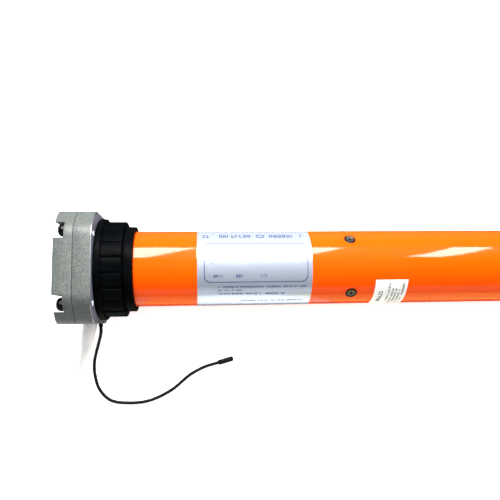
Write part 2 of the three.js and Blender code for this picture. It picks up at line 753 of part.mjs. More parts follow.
const TIP_R = 1.6;
function antennaTip() {
  const before = placed(antennaRoute.at(-2));
  const end = placed(antennaRoute.at(-1));
  const way = end.clone().sub(before).setZ(0).normalize();
  const start = end.clone().addScaledVector(way, GAP).setZ(TIP_R + 0.1);
  return bar([...start], [...start.clone().addScaledVector(way, 9.5)], TIP_R, 12);
}
add("antenna_tip", antennaTip(), blackRubber, object);

const [coilStation, coilY] = COIL_AT;
const COIL_TOP = 2 * COIL_HALF;
const coil = add(
  "power_cable_coil",
  ring(COIL_TURNS_R + COIL_HALF, COIL_TURNS_R - COIL_HALF, [0.05, COIL_TOP], 32),
  whiteRubber,
  object,
);
coil.position.set(coilStation - LENGTH / 2, coilY, 0);

// The cable's free end lies on the coil: a stub of sheath, and three cores that fan out of it.
function cableTail() {
  const level = COIL_TOP + CABLE_R + GAP;
  const stub = bar([-26, 0, level], [0, 0, level], CABLE_R, 12);
  const cores = [-1, 0, 1].map((side) =>
    bar([-1, side * 1.4, level], [30, side * 7, COIL_TOP + 1.6], 1.2, 8),
  );
  return join(stub, ...cores);
}
const tail = add("cable_tail", cableTail(), whiteRubber, object);
tail.position.set(coilStation - LENGTH / 2, coilY + COIL_TURNS_R, 0);

export default object;
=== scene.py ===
import json
import math
import random

import bmesh
import bpy
from mathutils import Matrix, Vector


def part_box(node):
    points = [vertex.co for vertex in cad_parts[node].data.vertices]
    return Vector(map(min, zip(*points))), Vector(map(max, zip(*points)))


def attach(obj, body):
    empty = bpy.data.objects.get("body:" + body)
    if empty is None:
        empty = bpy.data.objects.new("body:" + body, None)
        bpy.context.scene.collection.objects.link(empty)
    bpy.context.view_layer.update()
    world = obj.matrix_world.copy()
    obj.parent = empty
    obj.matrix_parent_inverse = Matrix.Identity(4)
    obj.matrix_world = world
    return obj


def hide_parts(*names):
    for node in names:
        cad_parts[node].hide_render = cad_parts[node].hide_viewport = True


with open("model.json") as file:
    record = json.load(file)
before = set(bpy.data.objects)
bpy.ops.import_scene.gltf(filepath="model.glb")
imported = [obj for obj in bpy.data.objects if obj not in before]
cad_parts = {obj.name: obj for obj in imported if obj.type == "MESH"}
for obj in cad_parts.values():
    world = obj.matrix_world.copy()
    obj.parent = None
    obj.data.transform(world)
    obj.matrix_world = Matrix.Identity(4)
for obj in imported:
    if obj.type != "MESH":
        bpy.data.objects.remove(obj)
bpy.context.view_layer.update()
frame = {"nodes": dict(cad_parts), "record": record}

MM = 0.001
AXIS_Z = 32.2
HEAD_FACE_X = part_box("head_cover_casting")[0].x / MM
TUBE_R = 22.5
LABEL_LIFT = 0.16
PRINT_LIFT = 0.02


def at(station, y, z):
    """A point at a station along the motor, in metres."""
    return Vector((HEAD_FACE_X + station, y, z)) * MM


def on_tube(station, degrees, radius):
    angle = math.radians(degrees)
    return at(station, radius * math.sin(angle), AXIS_Z + radius * math.cos(angle))


# ---------------------------------------------------------------- camera, light and floor
VIEW_STATION = 110.2
VIEW_SIDE = 11.1
CAMERA_DISTANCE = 339
CAMERA_ELEVATION = math.radians(83)
CAMERA_ROLL = math.radians(0.38)
CAMERA_YAW = math.radians(5)  # the camera stands nearer to the head
LENS = 39.6

# The panels of light that the glossy tube reflects, each as (name, station, width in metres, degrees
# from straight up towards +Y).
PANELS = (
    ("panel_left", -102, 0.252, 46),
    ("panel_middle", 222, 0.207, 43),
    ("panel_right", 602, 0.085, 40),
)
PANEL_AWAY = 0.8
PANEL_HEIGHT = 0.46
PANEL_SLANT = math.radians(-13)
PANEL_RADIANCE = 25
BOUNCE_POWER = 1.5
# Cards of light on the floor in front of the motor, each as (name, its two end stations, depth in metres,
# radiance, colour). White ones lie before the head, the label and the drive end, and warm ones before the
# crown and the bare paint beyond the label.
WHITE_CARD = (1.0, 1.0, 1.0)
WARM_CARD = (0.85, 0.80, 0.22)
CARDS = (
    ("card_head", (-1100, 40), 0.3, 0.97, WHITE_CARD),
    ("card_crown", (40, 76), 0.3, 1.3, WARM_CARD),
    ("card_label", (76, 170), 0.7, 1.6, WHITE_CARD),
    ("card_tube", (170, 430), 0.3, 1.3, WARM_CARD),
    ("card_far", (430, 1350), 0.3, 0.97, WHITE_CARD),
)
CARD_FRONT = -0.05
CARD_LIFT = 0.0005
WORLD_STRENGTH = 0.06
FLOOR_SIZE = 8
FLOOR_LEVEL = -0.0002
BACKDROP_R = 5
KEY_POWER = 12
OVERHEAD_POWER = 9


def make_camera():
    data = bpy.data.cameras.new("camera")
    data.lens = LENS
    data.clip_start = 0.01
    camera = bpy.data.objects.new("camera", data)
    bpy.context.collection.objects.link(camera)
    back = Vector((0, -math.cos(CAMERA_ELEVATION), math.sin(CAMERA_ELEVATION)))
    right = Matrix.Rotation(-CAMERA_ROLL, 3, back) @ Vector((1, 0, 0))
    up = back.cross(right)
    yaw = Matrix.Rotation(-CAMERA_YAW, 3, up)
    back, right = yaw @ back, yaw @ right
    place = Matrix((right, up, back)).transposed().to_4x4()
    place.translation = at(VIEW_STATION, VIEW_SIDE, AXIS_Z) + back * CAMERA_DISTANCE * MM
    camera.matrix_world = place
    bpy.context.scene.camera = camera


def area_light(name, position, target, size, power, roll=0.0, reflected=True):
    data = bpy.data.lights.new(name, "AREA")
    data.shape = "RECTANGLE"
    data.size = size[0]
    data.size_y = size[1]
    data.energy = power
    light = bpy.data.objects.new(name, data)
    bpy.context.collection.objects.link(light)
    back = (Vector(position) - Vector(target)).normalized()
    side = Vector((1, 0, 0))
    up = back.cross(side).normalized()
    side = up.cross(back)
    turn = Matrix((side, up, back)).transposed().to_4x4() @ Matrix.Rotation(roll, 4, "Z")
    turn.translation = Vector(position)
    light.matrix_world = turn
    light.visible_glossy = reflected
    return light


def make_light():
    scene = bpy.context.scene
    scene.view_settings.view_transform = "Standard"
    world = bpy.data.worlds.new("studio")
    scene.world = world
    world.use_nodes = True
    background = world.node_tree.nodes["Background"]
    background.inputs["Color"].default_value = (1.0, 1.0, 1.0, 1)
    background.inputs["Strength"].default_value = WORLD_STRENGTH
    for name, station, width, degrees in PANELS:
        panel_way = Vector((0, math.sin(math.radians(degrees)), math.cos(math.radians(degrees))))
        centre = at(station, 0, AXIS_Z)
        power = PANEL_RADIANCE * math.pi * width * PANEL_HEIGHT
        area_light(name, centre + panel_way * PANEL_AWAY, centre, (width, PANEL_HEIGHT), power, PANEL_SLANT)
    middle = at(VIEW_STATION, 0, AXIS_Z)
    lifted = middle + Vector((0, 0, 0.2))
    area_light("bounce", middle + Vector((0, -1.0, 0.2)), lifted, (2.4, 0.4), BOUNCE_POWER)
    for name, ends, depth, radiance, color in CARDS:
        width = (ends[1] - ends[0]) * MM
        card_at = Vector((at(sum(ends) / 2, 0, 0).x, CARD_FRONT - depth / 2, CARD_LIFT))
        power = radiance * math.pi * width * depth
        card = area_light(name, card_at, card_at + Vector((0, 0, 1)), (width, depth), power)
        card.data.color = color
        card.visible_camera = False
    key_at = middle + Vector((0.1, 0.95, 0.75))
    area_light("key", key_at, middle, (1.8, 0.5), KEY_POWER, reflected=False)
    overhead_at = middle + Vector((0, 0.1, 1.3))
    area_light("overhead", overhead_at, middle, (1.2, 0.5), OVERHEAD_POWER, reflected=False)


def make_floor(material):
    bpy.ops.mesh.primitive_plane_add(size=FLOOR_SIZE, location=(0, 0, FLOOR_LEVEL))
    floor = bpy.context.object
    floor.name = "floor"
    floor.data.materials.append(material)
    floor.visible_glossy = False


def make_backdrop(material):
    """A white dome round everything, which only the camera sees."""
    bpy.ops.mesh.primitive_uv_sphere_add(radius=BACKDROP_R)
    dome = bpy.context.object
    dome.name = "backdrop"
    dome.data.materials.append(material)
    dome.visible_diffuse = False
    dome.visible_glossy = False
    dome.visible_transmission = False
    dome.visible_shadow = False


# ---------------------------------------------------------------- materials
class Paint:
    """A Principled material that is built up node by node, in object coordinates."""

    def __init__(self, name, color, roughness, metallic=0.0, **sockets):
        self.material = bpy.data.materials.new(name)
        self.material.use_nodes = True
        self.tree = self.material.node_tree
        self.shader = self.tree.nodes["Principled BSDF"]
        self.shader.inputs["Base Color"].default_value = (*color, 1)
        self.shader.inputs["Roughness"].default_value = roughness
        self.shader.inputs["Metallic"].default_value = metallic
        for socket, value in sockets.items():
            self.shader.inputs[socket.replace("_", " ")].default_value = value
        self.coordinates = self.tree.nodes.new("ShaderNodeTexCoord").outputs["Object"]
        self.normal = None

    def node(self, kind, links=(), **settings):
        made = self.tree.nodes.new(kind)
        for key, value in settings.items():
            if key in made.inputs:
                made.inputs[key].default_value = value
            else:
                setattr(made, key, value)
        for socket, source in links:
            self.tree.links.new(source, made.inputs[socket])
        return made

    def stretched(self, scale):
        return self.node("ShaderNodeMapping", [("Vector", self.coordinates)], Scale=scale).outputs["Vector"]

    def noise(self, scale, detail=3.0, stretch=None, distortion=0.0):
        vector = self.stretched(stretch) if stretch else self.coordinates
        made = self.node("ShaderNodeTexNoise", [("Vector", vector)])
        made.inputs["Scale"].default_value = scale
        made.inputs["Detail"].default_value = detail
        made.inputs["Distortion"].default_value = distortion
        return made.outputs["Fac"]

    def ramp(self, source, stops):
        made = self.node("ShaderNodeValToRGB", [("Fac", source)])
        elements = made.color_ramp.elements
        while len(elements) < len(stops):
            elements.new(0.5)
        for element, (position, color) in zip(elements, stops):
            element.position = position
            value = color if isinstance(color, tuple) else (color,) * 3
            element.color = (*value, 1)
        return made.outputs["Color"]

    def mix(self, factor, first, second, mode="MIX"):
        made = self.node("ShaderNodeMix", data_type="RGBA", blend_type=mode)
        for socket, value in ((0, factor), (6, first), (7, second)):
            if isinstance(value, bpy.types.NodeSocket):
                self.tree.links.new(value, made.inputs[socket])
            elif isinstance(value, tuple):
                made.inputs[socket].default_value = (*value, 1)
            else:
                made.inputs[socket].default_value = value
        return made.outputs[2]

    def color(self, source):
        self.tree.links.new(source, self.shader.inputs["Base Color"])

    def roughness(self, source):
        self.tree.links.new(source, self.shader.inputs["Roughness"])

    def bump(self, source, strength, distance):
        made = self.node("ShaderNodeBump", [("Height", source)])
        made.inputs["Strength"].default_value = strength
        made.inputs["Distance"].default_value = distance
        if self.normal:
            self.tree.links.new(self.normal, made.inputs["Normal"])
        self.normal = made.outputs["Normal"]
        self.tree.links.new(self.normal, self.shader.inputs["Normal"])


def cast_aluminium():
    paint = Paint("cast_aluminium", (0.3, 0.32, 0.3), 0.5, 0.15)
    grain = paint.noise(2600, 3)
    coarse = paint.noise(900, 2)
    cloud = paint.noise(60, 3)
    fine = paint.ramp(grain, [
        (0.32, (0.062, 0.072, 0.066)),
        (0.5, (0.102, 0.114, 0.106)),
        (0.68, (0.20, 0.215, 0.20)),
    ])
    patchy = paint.ramp(coarse, [(0.35, 0.86), (0.65, 1.0)])
    tone = paint.ramp(cloud, [(0.3, 0.88), (0.7, 1.0)])
    paint.color(paint.mix(1.0, paint.mix(1.0, fine, patchy, "MULTIPLY"), tone, "MULTIPLY"))
    paint.roughness(paint.ramp(grain, [(0.3, 0.6), (0.7, 0.42)]))
    paint.bump(grain, 0.3, 0.00012)
    paint.bump(cloud, 0.12, 0.0003)
    return paint.material


def orange_paint():
    paint = Paint("orange_paint", (0.9, 0.06, 0.0), 0.35, 0.0, Coat_Weight=0.7, Coat_Roughness=0.06,
                  Specular_IOR_Level=0.03)
    tone = paint.noise(25, 3)
    paint.color(paint.ramp(tone, [(0.3, (0.88, 0.073, 0.0)), (0.7, (0.92, 0.081, 0.0))]))
    paint.roughness(paint.ramp(paint.noise(300, 3), [(0.3, 0.26), (0.7, 0.36)]))
    paint.bump(paint.noise(450, 2), 0.05, 0.0001)
    return paint.material


def moulded_plastic(name, color, roughness, grain_scale=900.0, gloss=0.5):
    paint = Paint(name, color, roughness, Specular_IOR_Level=gloss)
    grain = paint.noise(grain_scale, 3)
    light = tuple(min(1.0, c * 1.35 + 0.001) for c in color)
    paint.color(paint.ramp(paint.noise(90, 3), [(0.3, color), (0.7, light)]))
    paint.roughness(paint.ramp(grain, [(0.3, roughness * 0.85), (0.7, min(1.0, roughness * 1.2))]))
    paint.bump(grain, 0.12, 0.0001)
    return paint.material


def silver_foil():
    paint = Paint("silver_foil", (0.75, 0.81, 0.90), 0.3, 0.68, Coat_Weight=0.2, Coat_Roughness=0.15)
    brushed = paint.noise(250, 2, (0.2, 1, 1))
    paint.color(paint.ramp(brushed, [(0.3, (0.66, 0.74, 0.89)), (0.7, (0.70, 0.78, 0.92))]))
    paint.roughness(paint.ramp(brushed, [(0.3, 0.25), (0.7, 0.27)]))
    return paint.material


def white_rubber():
    # The emission paints a glow on the white cable, so that it shows brighter than the lamps alone make it.
    paint = Paint("white_rubber", (0.80, 0.80, 0.79), 0.42,
                  Emission_Color=(1, 1, 1, 1), Emission_Strength=0.18)
    paint.color(paint.ramp(paint.noise(90, 3), [(0.3, (0.78, 0.78, 0.77)), (0.7, (0.82, 0.82, 0.81))]))
    paint.bump(paint.noise(900, 3), 0.1, 0.0001)
    return paint.material


def paper(name, color):
    paint = Paint(name, color, 0.55)
    fibre = paint.noise(1400, 4, (1, 0.5, 1))
    darker = tuple(c * 0.95 for c in color)
    paint.color(paint.ramp(fibre, [(0.35, darker), (0.65, color)]))
    paint.bump(fibre, 0.06, 0.0001)
    return paint.material


def ink(name, color):
    paint = Paint(name, color, 0.5, Specular_IOR_Level=0.05)
    fade = paint.noise(2000, 2)
    lighter = tuple(min(1.0, c * 1.8 + 0.03) for c in color)
    paint.color(paint.ramp(fade, [(0.35, color), (0.75, lighter)]))
    return paint.material


def metal(name, color, roughness, stretch=(1, 1, 1), scale=800.0):
    paint = Paint(name, color, roughness, 1.0)
    lines = paint.noise(scale, 4, stretch)
    darker = tuple(c * 0.8 for c in color)
    paint.color(paint.ramp(lines, [(0.3, darker), (0.7, color)]))
    paint.roughness(paint.ramp(lines, [(0.3, roughness * 0.8), (0.7, min(1.0, roughness * 1.3))]))
    paint.bump(lines, 0.06, 0.0001)
    return paint.material


def laminations():
    paint = Paint("laminated_steel", (0.35, 0.36, 0.38), 0.45, 0.9)
    sheets = paint.node("ShaderNodeTexWave", [("Vector", paint.coordinates)], bands_direction="X")
    sheets.inputs["Scale"].default_value = 320
    paint.color(paint.ramp(sheets.outputs["Fac"], [(0.2, (0.16, 0.17, 0.19)), (0.7, (0.42, 0.43, 0.45))]))
    paint.bump(sheets.outputs["Fac"], 0.3, 0.0002)
    return paint.material


def windings():
    paint = Paint("copper", (0.72, 0.30, 0.13), 0.3, 0.9, Coat_Weight=0.5, Coat_Roughness=0.2)
    wires = paint.noise(260, 3, (0.3, 1, 1), 1.5)
    paint.color(paint.ramp(wires, [(0.35, (0.30, 0.10, 0.04)), (0.65, (0.80, 0.36, 0.16))]))
    paint.bump(wires, 0.5, 0.0004)
    return paint.material


def circuit_board():
    paint = Paint("circuit_board", (0.03, 0.2, 0.08), 0.35, Coat_Weight=0.5, Coat_Roughness=0.15)
    tracks = paint.node("ShaderNodeTexVoronoi", [("Vector", paint.coordinates)], feature="DISTANCE_TO_EDGE")
    tracks.inputs["Scale"].default_value = 240
    tones = [(0.03, (0.09, 0.36, 0.16)), (0.08, (0.02, 0.15, 0.06))]
    paint.color(paint.ramp(tracks.outputs["Distance"], tones))
    return paint.material


def floor_white():
    paint = Paint("floor_white", (0.9, 0.9, 0.9), 0.7, Specular_IOR_Level=0.2,
                  Emission_Color=(1, 1, 1, 1), Emission_Strength=0.75)
    paint.color(paint.ramp(paint.noise(3, 2), [(0.3, 0.90), (0.7, 0.92)]))
    return paint.material


def backdrop_white():
    paint = Paint("backdrop_white", (0.9, 0.9, 0.9), 1.0, Specular_IOR_Level=0.0,
                  Emission_Color=(1, 1, 1, 1), Emission_Strength=1.0)
    paint.color(paint.ramp(paint.noise(1, 1), [(0.3, 0.88), (0.7, 0.92)]))
    return paint.material


CAST = cast_aluminium()
ORANGE = orange_paint()
BLACK = moulded_plastic("black_plastic", (0.0007, 0.0010, 0.0013), 0.34, gloss=0.012)
DIE_CAST = moulded_plastic("black_die_cast", (0.012, 0.012, 0.013), 0.42, 700)
FOIL = silver_foil()
PAPER = paper("white_paper", (0.90, 0.91, 0.92))
INK = ink("blue_ink", (0.02, 0.035, 0.10))
BLACK_INK = ink("black_ink", (0.012, 0.012, 0.014))
PALE_INK = ink("pale_ink", (0.42, 0.47, 0.56))
BLACK_STEEL = metal("black_steel", (0.03, 0.03, 0.033), 0.35)
STEEL = metal("bright_steel", (0.55, 0.56, 0.58), 0.28, (0.15, 1, 1))
BRONZE = metal("bronze", (0.60, 0.36, 0.14), 0.35)
NYLON = moulded_plastic("nylon", (0.72, 0.70, 0.63), 0.4, 500)
COPPER = windings()
LAMINATED = laminations()
BOARD = circuit_board()
# A painted highlight: pale colour for the bright line that light catches along the head's back edge.
PAINTED_HIGHLIGHT_EDGE = metal("painted_highlight_edge", (0.80, 0.78, 0.86), 0.35)
# Painted shade: a dark lavender grey for the head's back face, which stands in for that face in shadow with
# bluish reflected light.
SHADED_FACE = moulded_plastic("painted_shade_back_face", (0.11, 0.11, 0.15), 0.5, 1500)
# Dark colour for the casting's parting line, a real dark joint; it also paints the shade in the tube screws'
# cross recesses.
SEAM_AND_RECESS_SHADE = moulded_plastic("casting_seam", (0.006, 0.007, 0.007), 0.7, 1500, gloss=0.1)
ADJUSTER = moulded_plastic("adjuster_plastic", (0.62, 0.66, 0.86), 0.35, 700)
SCREW_FACE = metal("zinc_screw", (0.30, 0.27, 0.23), 0.4)
BLACK_RUBBER = moulded_plastic("black_rubber", (0.003, 0.003, 0.0035), 0.5, 1200, gloss=0.15)
WHITE_RUBBER = white_rubber()
SLOT_PAINT = {
    "cast_aluminium": CAST,
    "orange_paint": ORANGE,
    "black_plastic": BLACK,
    "black_die_cast": DIE_CAST,
    "silver_foil": FOIL,
    "white_paper": PAPER,
    "black_steel": BLACK_STEEL,
    "bright_steel": STEEL,
    "bronze": BRONZE,
    "nylon": NYLON,
    "copper": COPPER,
    "laminated_steel": LAMINATED,
    "circuit_board": BOARD,
    "black_rubber": BLACK_RUBBER,
    "white_rubber": WHITE_RUBBER,
}


# ---------------------------------------------------------------- meshes
def smooth(piece, degrees=35):
    """Smooth shading, with edges sharper than this angle left sharp."""
    mesh = piece.data
    mesh.polygons.foreach_set("use_smooth", [True] * len(mesh.polygons))
    mesh.set_sharp_from_angle(angle=math.radians(degrees))


def new_piece(name, mesh, body, slot, material=None, replaced=()):
    piece = bpy.data.objects.new(name, mesh)
    bpy.context.collection.objects.link(piece)
    piece.data.materials.append(material or SLOT_PAINT[slot])
    if isinstance(mesh, bpy.types.Mesh):
        smooth(piece)
    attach(piece, body)
    if replaced:
        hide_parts(*replaced)
    return piece


def mesh_of(build):
    """The mesh that build makes in a new bmesh, with its faces pointing out."""
    made = bmesh.new()
    build(made)
    bmesh.ops.remove_doubles(made, verts=made.verts, dist=1e-7)
    bmesh.ops.recalc_face_normals(made, faces=made.faces)
    mesh = bpy.data.meshes.new("mesh")
    made.to_mesh(mesh)
    made.free()
    return mesh


def bevelled(piece, width, segments=3, degrees=30):
    made = piece.modifiers.new("edges", "BEVEL")
    made.width = width * MM
    made.segments = segments
    made.limit_method = "ANGLE"
    made.angle_limit = math.radians(degrees)
    made.harden_normals = True


def lathe_into(made, profile, place, sides):
    """Turns a closed profile of (radius, height) points about the Z axis of place."""
    rings = []
    for i in range(sides):
        angle = 2 * math.pi * i / sides
        way = Vector((math.cos(angle), math.sin(angle), 0))
        rings.append([made.verts.new(place @ (way * (r * MM) + Vector((0, 0, h * MM)))) for r, h in profile])
    for i in range(sides):
        here, after = rings[i], rings[(i + 1) % sides]
        for j in range(len(profile)):
            k = (j + 1) % len(profile)
            if profile[j][0] == 0 and profile[k][0] == 0:
                continue
            corners = [here[j], after[j], after[k], here[k]]
            if profile[j][0] == 0:
                corners = [here[j], after[k], here[k]]
            elif profile[k][0] == 0:
                corners = [here[j], after[j], here[k]]
            made.faces.new(corners)


ALONG_MOTOR = Matrix.Translation(at(0, 0, AXIS_Z)) @ Matrix.Rotation(math.pi / 2, 4, "Y")


def turned(profile, place=ALONG_MOTOR, sides=96):
    return mesh_of(lambda made: lathe_into(made, profile, place, sides))


def patch_mesh(pieces, radius, thickness=0.0, step=2.0):
    """Patches that follow the tube, each given as ((from, to) stations, (from, to) degrees)."""

    def build(made):
        for (x0, x1), (low, high) in pieces:
            count = max(1, math.ceil(abs(high - low) / step))
            rows = []
            for i in range(count + 1):
                degrees = low + (high - low) * i / count
                rows.append([made.verts.new(on_tube(x, degrees, radius)) for x in (x0, x1)])
            faces = [
                made.faces.new((here[0], here[1], after[1], after[0]))
                for here, after in zip(rows, rows[1:])
            ]
            if thickness:
                deeper = bmesh.ops.extrude_face_region(made, geom=faces)["geom"]
                for vert in (v for v in deeper if isinstance(v, bmesh.types.BMVert)):
                    vert.co += (on_tube(0, 0, 0) - vert.co) * Vector((0, 1, 1)) * (thickness / radius)

    return mesh_of(build)


# ---------------------------------------------------------------- cords
CABLE_D = 6.6
ANTENNA_D = 2.0
CABLE_LENGTH = 2500
COIL_CENTRE = (-116, -64)
COIL_R = 6 * CABLE_D
COIL_BOTTOM = 3.35  # the height of the lowest turns' middle line
POINTS_A_TURN = 36
MOST_TURNS = 10  # the cable's length ends it before this
ANTENNA_ROUTE = (
    (18.4, -34.5, 19),
    (18.4, -37, 18),
    (17.5, -40, 15),
    (15, -46, 8.5),
    (12, -55, 2.6),
    (11.5, -60, 1.4),
    (12, -65, 1.1),
    (15, -74, 1.1),
    (22, -81, 1.1),
    (33, -83, 1.1),
    (46, -82, 1.1),
    (60, -76, 1.1),
    (73, -66, 1.1),
    (82, -61.5, 1.1),
    (91, -59, 1.3),
)
CABLE_LEAD = (
    (10.01, -46.36, 19),
    (9.61, -49.36, 19),
    (7, -56, 16),
    (4, -62, 11),
    (-1, -71, 6.5),
    (-8, -82, 3.9),
    (-17, -91, 3.45),
    (-30, -99, 3.4),
    (-48, -105, 3.4),
    (-66, -109, 3.4),
    (-84, -110, 3.4),
)


def eased(t):
    t = min(1.0, max(0.0, t))
    return t * t * (3 - 2 * t)


def coil_point(turns):
    """A point of the wound cable, this many turns from where it starts.

    It has three columns of three turns, outermost first, and then a last part of a turn on top.
    """
    stops = [(0, 0), (0, 1), (0, 2), (1, 2), (1, 1), (1, 0), (2, 0), (2, 1), (2, 2), (1.5, 3)]
    whole = min(len(stops) - 2, int(turns))
    share = eased((turns - whole - 0.86) / 0.14) if whole < len(stops) - 2 else eased((turns - whole) / 0.22)
    (column, level), (next_column, next_level) = stops[whole], stops[whole + 1]
    radius = COIL_R + CABLE_D * (1 - column - (next_column - column) * share)
    height = COIL_BOTTOM + CABLE_D * (level + (next_level - level) * share)
    angle = math.radians(-90) - 2 * math.pi * turns
    return (COIL_CENTRE[0] + radius * math.cos(angle), COIL_CENTRE[1] + radius * math.sin(angle), height)


def smooth_line(points, spacing):
    """Points a spacing apart on a centripetal Catmull-Rom curve through the given ones."""
    ends = [points[0] * 2 - points[1], *points, points[-1] * 2 - points[-2]]
    line = [points[0]]
    for a, b, c, d in zip(ends, ends[1:], ends[2:], ends[3:]):
        steps = max(1, round((c - b).length / spacing))
        t0 = 0.0
        t1 = t0 + (b - a).length ** 0.5
        t2 = t1 + (c - b).length ** 0.5
        t3 = t2 + (d - c).length ** 0.5
        for i in range(1, steps + 1):
            t = t1 + (t2 - t1) * i / steps
            ab = a.lerp(b, (t - t0) / (t1 - t0))
            bc = b.lerp(c, (t - t1) / (t2 - t1))
            cd = c.lerp(d, (t - t2) / (t3 - t2))
            first = ab.lerp(bc, (t - t0) / (t2 - t0))
            second = bc.lerp(cd, (t - t1) / (t3 - t1))
            line.append(first.lerp(second, (t - t1) / (t2 - t1)))
    return line


def round_line(name, line, radius, resolution):
    """A capped round bar along a line, as a curve."""
    curve = bpy.data.curves.new(name, "CURVE")
    curve.dimensions = "3D"
    curve.bevel_depth = radius * MM
    curve.bevel_resolution = resolution
    curve.use_fill_caps = True
    spline = curve.splines.new("POLY")
    spline.points.add(len(line) - 1)
    for point, place in zip(spline.points, line):
        point.co = (*place, 1)
    return curve


def along(place, way):
    """A matrix at a place whose Z axis points along a direction."""
    return Matrix.Translation(place) @ way.to_track_quat("Z", "Y").to_matrix().to_4x4()


TIP_PROFILE = (
    (0, -0.4), (1.15, -0.4), (1.5, 0.0), (1.6, 0.6), (1.6, 8.6), (1.45, 9.3), (0.9, 9.8), (0, 9.9),
)
TIP_HEIGHT = 1.75


def make_antenna():
    line = smooth_line([at(*p) for p in ANTENNA_ROUTE], 1.5 * MM)
    wire = new_piece("antenna_wire_curve", round_line("antenna_wire_curve", line, ANTENNA_D / 2, 5), "head",
                     "black_rubber", replaced=["antenna_wire"])
    way = (line[-1] - line[-2]) * Vector((1, 1, 0))
    start = line[-1] + way.normalized() * 0.1 * MM
    start.z = TIP_HEIGHT * MM
    tip = new_piece("antenna_end_cap", turned(TIP_PROFILE, along(start, way), 24), "head", "black_rubber",
                    replaced=["antenna_tip"])


def make_cable():
    lead = [Vector(p) for p in CABLE_LEAD]
    wound = [Vector(coil_point(i / POINTS_A_TURN)) for i in range(4, POINTS_A_TURN * MOST_TURNS)]
    route = smooth_line([at(*p) for p in lead + wound], 2.5 * MM)
    line = [route[0]]
    left = CABLE_LENGTH * MM
    for a, b in zip(route, route[1:]):
        step = (b - a).length
        if step >= left:
            line.append(a.lerp(b, left / step))
            break
        line.append(b)
        left -= step
    cable = new_piece("power_cable", round_line("power_cable", line, CABLE_D / 2, 5), "head", "white_rubber",
                      replaced=["power_cable_lead", "power_cable_coil"])
    pieces = cable_end(line) + [cable_tie()]


CORES = (
    ("brown_core", (0.16, 0.05, 0.02)),
    ("blue_core", (0.02, 0.12, 0.50)),
    ("earth_core", (0.25, 0.55, 0.04)),
)
CORE_R = 1.15
FERRULE_PROFILE = ((0, -2.5), (1.5, -2.5), (1.5, 0.5), (0.9, 1.0), (0.8, 7.0), (0.7, 7.2), (0, 7.2))


def cable_end(line):
    """The stripped end: three cores with ferrules, which fan out of the sheath and lie on the coil."""
    end = line[-1]
    way = (line[-1] - line[-3]).normalized()
    inward = (at(*COIL_CENTRE, 0) - end) * Vector((1, 1, 0))
    side = inward.normalized()
    down = Vector((0, 0, -1))
    pieces = []
    for i, (name, color) in enumerate(CORES):
        offset = (i - 1) * 2.0
        drop = 0.6 if i == 1 else 0.0
        points = [
            end + way * (-1.5 * MM) + side * (offset * 0.8 * MM),
            end + way * (4 * MM) + side * (offset * 1.0 * MM) + down * (drop * MM),
            end + way * (12 * MM) + side * ((offset * 1.8 + 1.5) * MM) + down * (1.2 * MM),
            end + way * (20 * MM) + side * ((offset * 2.6 + 4) * MM) + down * (1.9 * MM),
            end + way * (26 * MM) + side * ((offset * 3.0 + 7) * MM) + down * (2.0 * MM),
        ]
        core_line = smooth_line(points, 1 * MM)
        material = moulded_plastic(name + "_pvc", color, 0.4)
        core = new_piece(name, round_line(name, core_line, CORE_R, 4), "head", "white_rubber", material)
        place = along(core_line[-1], core_line[-1] - core_line[-2])
        ferrule = new_piece(name + "_ferrule", turned(FERRULE_PROFILE, place, 20), "head", "bright_steel")
        pieces += [core, ferrule]
    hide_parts("cable_tail")
    return pieces


TIE_HALF_WIDTH = 2.4
TIE_THICKNESS = 0.9
TIE_SQUARENESS = 0.42  # 1 would be round, and 0 a square
TIE_POINTS = 40


def join_loops(made, loops):
    """Faces between each loop of points and the next, and from the last loop to the first."""
    for a, b in zip(loops, loops[1:] + loops[:1]):
        for i in range(len(a)):
            j = (i + 1) % len(a)
            made.faces.new((a[i], a[j], b[j], b[i]))


def cable_tie():
    """A strap round the coil's section, on the side away from the motor."""
    half = 1.5 * CABLE_D + 0.6
    centre = Vector((COIL_CENTRE[0] - COIL_R, COIL_CENTRE[1], COIL_BOTTOM + CABLE_D))
    section = (
        (-TIE_HALF_WIDTH, 0.0),
        (-TIE_HALF_WIDTH, TIE_THICKNESS),
        (TIE_HALF_WIDTH, TIE_THICKNESS),
        (TIE_HALF_WIDTH, 0.0),
    )

    def build(made):
        loops = []
        for y, grow in section:
            loop = []
            for i in range(TIE_POINTS):
                angle = 2 * math.pi * i / TIE_POINTS
                c, s = math.cos(angle), math.sin(angle)
                reach = half + grow
                side = math.copysign(abs(c) ** TIE_SQUARENESS, c) * reach
                up = math.copysign(abs(s) ** TIE_SQUARENESS, s) * (reach - 0.4)
                up = max(up, -(centre.z - 0.02))
                loop.append(made.verts.new(at(centre.x + side, centre.y + y, centre.z + up)))
            loops.append(loop)
        join_loops(made, loops)

    return new_piece("cable_tie", mesh_of(build), "head", "black_plastic")


# ---------------------------------------------------------------- the visible pieces
TUBE_STATIONS = (41.8, 548)
TUBE_WALL = 1.2
TUBE_EDGE = 0.3


def make_tube():
    start, end = TUBE_STATIONS
    bore = TUBE_R - TUBE_WALL
    profile = [
        (bore, start),
        (TUBE_R, start),
        (TUBE_R, end - TUBE_EDGE),
        (TUBE_R - TUBE_EDGE, end),
        (bore, end),
    ]
    new_piece("painted_tube", turned(profile, sides=160), "head", "orange_paint", replaced=["motor_tube"])


HEAD_HALF = 32.2
HEAD_CHAMFER = 12
HEAD_FILLET = 5
HEAD_JOINT = 10.55
HEAD_BACK = 20.6


